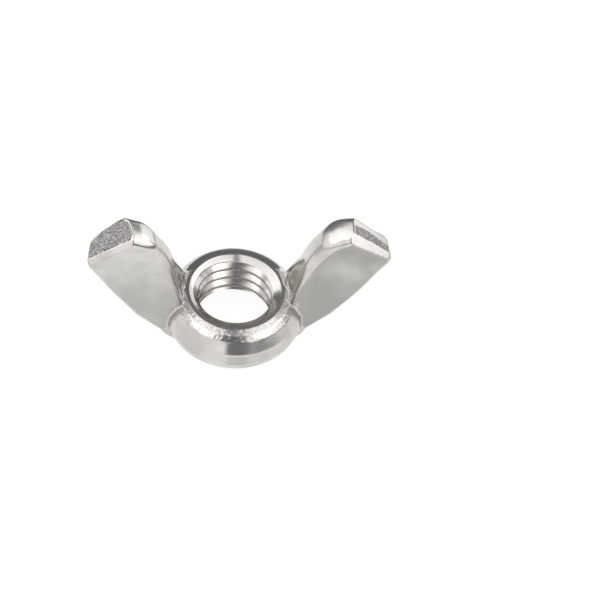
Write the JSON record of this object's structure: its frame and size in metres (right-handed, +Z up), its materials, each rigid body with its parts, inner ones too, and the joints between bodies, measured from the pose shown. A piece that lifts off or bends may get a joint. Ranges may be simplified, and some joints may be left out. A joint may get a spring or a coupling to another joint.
{
  "type": "wing nut",
  "caption": "Cold-forged stainless steel wing nut with a barrel-shaped threaded hub and broad leaning wings, tightened by hand onto a metric bolt.",
  "frame": {"origin": "centre of the bearing face, where the thread axis meets it", "axes": "+Z up the thread axis towards the wing tips, X along the span of the wings, Y across their thickness"},
  "size_m": [0.0352, 0.0162, 0.0175],
  "materials": {
    "steel": "tumbled, bright on the edges and satin on the flat sides of the wings"
  },
  "bodies": {
    "root": {"wing_nut": "steel"}
  },
  "joints": []
}
